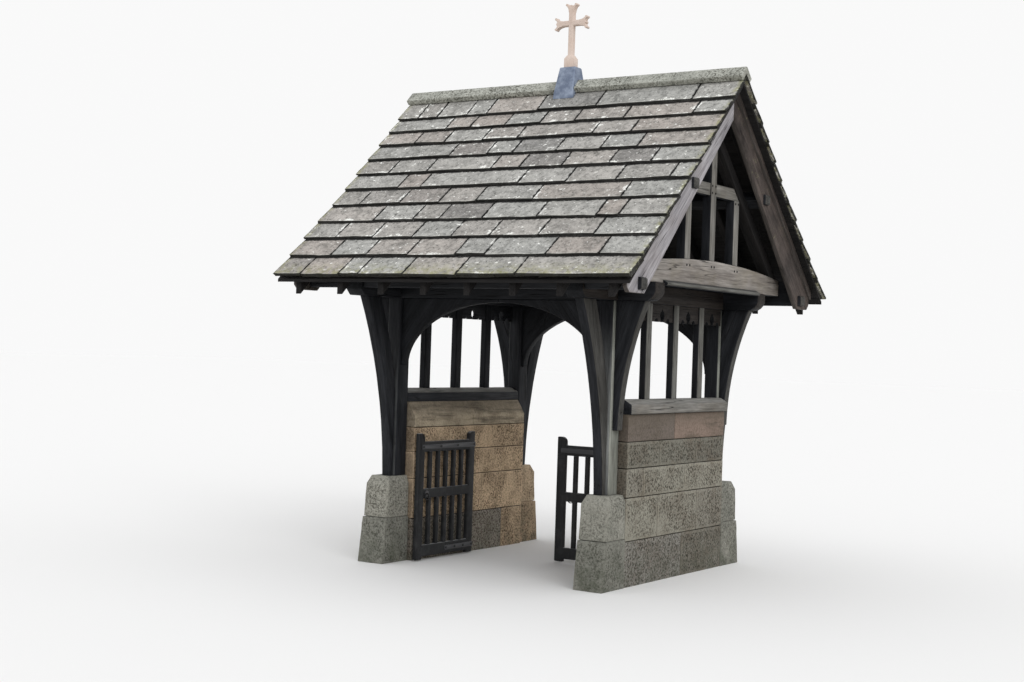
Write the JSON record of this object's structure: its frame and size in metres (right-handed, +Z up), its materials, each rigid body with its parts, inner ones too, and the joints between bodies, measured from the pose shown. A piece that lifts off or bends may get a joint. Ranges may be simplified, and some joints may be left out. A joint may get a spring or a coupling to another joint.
{
  "type": "lychgate",
  "caption": "Timber lychgate on stone bases and dwarf walls, with a steep stone-slated roof, traceried side screens, curved braces, a stone cross and a pair of picket gates.",
  "frame": {"origin": "on the ground at the middle of the roofed footprint", "axes": "+Z up, +X along the ridge towards the gable that shows, +Y through the passage from the churchyard side to the road side"},
  "size_m": [3.772, 4.088, 5.405],
  "materials": {
    "base_stone": "pecked, weathered",
    "wall_stone": "pecked ashlar",
    "stone_slates": "riven, lichened",
    "ridge_stone": "weathered",
    "finial_stone": "rubbed",
    "lead": "dull lead sheet",
    "black_iron": "black paint",
    "gate_oak": "dark stained",
    "weathered_oak": "silvered",
    "grey_oak": "weathered",
    "dark_oak": "dark weathered"
  },
  "bodies": {
    "root": {"arch_braces_back": "dark_oak", "arch_braces_front": "dark_oak", "bargeboards_left": "weathered_oak", "bargeboards_right": "weathered_oak", "base_back_left": "base_stone", "base_back_right": "base_stone", "base_front_left": "base_stone", "base_front_right": "base_stone", "cross": "finial_stone", "cross_beam_left": "dark_oak", "cross_beam_right": "dark_oak", "drip_boards": "weathered_oak", "eave_braces_left": "dark_oak", "eave_braces_right": "dark_oak", "eaves_plate_back": "dark_oak", "eaves_plate_front": "dark_oak", "gable_braces_left": "dark_oak", "gable_braces_right": "dark_oak", "gable_collars": "grey_oak", "gable_struts_left": "grey_oak", "gable_struts_right": "grey_oak", "gable_tie_left": "grey_oak", "gable_tie_right": "grey_oak", "head_boards_left": "grey_oak", "head_boards_right": "grey_oak", "lead_saddle": "lead", "mullions_left": "grey_oak", "mullions_right": "grey_oak", "pintles": "black_iron", "posts_left": "dark_oak", "posts_right": "dark_oak", "principal_rafters_left": "dark_oak", "principal_rafters_right": "dark_oak", "purlin_back": "dark_oak", "purlin_front": "dark_oak", "rafters_back": "dark_oak", "rafters_front": "dark_oak", "ridge_board": "dark_oak", "ridge_stones": "ridge_stone", "roof_boards_back": "dark_oak", "roof_boards_front": "dark_oak", "side_wall_left": "wall_stone", "side_wall_right": "wall_stone", "sill_left": "grey_oak", "sill_right": "grey_oak", "slates_back": "stone_slates", "slates_front": "stone_slates", "wall_plate_back": "dark_oak", "wall_plate_front": "dark_oak"},
    "gate_left": {"left_leaf_frame": "gate_oak", "left_leaf_ironwork": "black_iron", "left_leaf_pickets": "gate_oak"},
    "gate_right": {"right_leaf_frame": "gate_oak", "right_leaf_ironwork": "black_iron", "right_leaf_pickets": "gate_oak"}
  },
  "joints": [
    {"name": "left_leaf_swing", "type": "hinge", "parent": "root", "child": "gate_left", "pos_m": [-0.975, -0.045, 0.6], "axis": [0, 0, 1], "range_deg": [0, 90]},
    {"name": "right_leaf_swing", "type": "hinge", "parent": "root", "child": "gate_right", "pos_m": [0.975, -0.045, 0.6], "axis": [0, 0, 1], "range_deg": [0, 90]}
  ]
}
